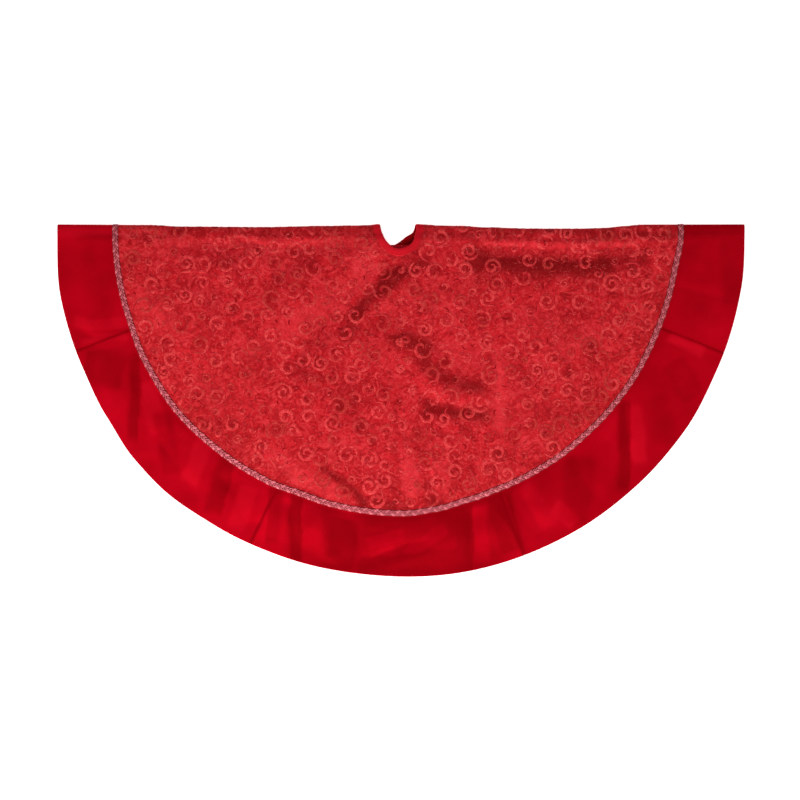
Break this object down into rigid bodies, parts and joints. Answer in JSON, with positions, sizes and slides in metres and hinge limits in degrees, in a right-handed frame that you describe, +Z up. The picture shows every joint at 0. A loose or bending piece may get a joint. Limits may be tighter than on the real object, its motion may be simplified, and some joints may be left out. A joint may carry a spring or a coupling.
{
  "type": "tree skirt",
  "caption": "Round fabric tree skirt with a trunk hole, a printed panel, metallic braid and a satin border, folded in half; the slit back opens as two wings.",
  "frame": {"origin": "centre of the trunk hole on the fold line, at floor level", "axes": "+X along the fold line to the front half's right end, +Z up; the folded skirt lies on the -Y side of the fold"},
  "size_m": [1.2192, 0.6093, 0.006],
  "materials": {
    "printed_panel": "short-pile red cloth with raised glitter curls",
    "satin_border": "glossy red satin",
    "metallic_braid": "braided rose-silver metallic trim",
    "satin_tape": "red satin bias tape",
    "lining": "plain dull red lining",
    "closure_nylon": "hook and loop tape"
  },
  "bodies": {
    "front_half": {"front_panel": "printed_panel", "front_lining": "lining", "front_braid": "metallic_braid", "front_neck_binding": "satin_tape", "front_border_left_end": "satin_border", "front_border_left": "satin_border", "front_border_centre": "satin_border", "front_border_right": "satin_border", "front_border_right_end": "satin_border"},
    "left_wing": {"left_panel": "printed_panel", "left_lining": "lining", "left_braid": "metallic_braid", "left_neck_binding": "satin_tape", "left_slit_facing": "satin_tape", "left_border_fold_end": "satin_border", "left_border_middle": "satin_border", "left_border_slit_end": "satin_border", "hook_pads": "closure_nylon"},
    "right_wing": {"right_panel": "printed_panel", "right_lining": "lining", "right_braid": "metallic_braid", "right_neck_binding": "satin_tape", "right_slit_facing": "satin_tape", "right_border_fold_end": "satin_border", "right_border_middle": "satin_border", "right_border_slit_end": "satin_border", "loop_pads": "closure_nylon"}
  },
  "joints": [
    {"name": "unfold_left", "type": "hinge", "parent": "front_half", "child": "left_wing", "pos_m": [0, 0, 0.003], "axis": [1, 0, 0], "range_deg": [0, 180]},
    {"name": "unfold_right", "type": "hinge", "parent": "front_half", "child": "right_wing", "pos_m": [0, 0, 0.003], "axis": [1, 0, 0], "range_deg": [0, 180]}
  ]
}
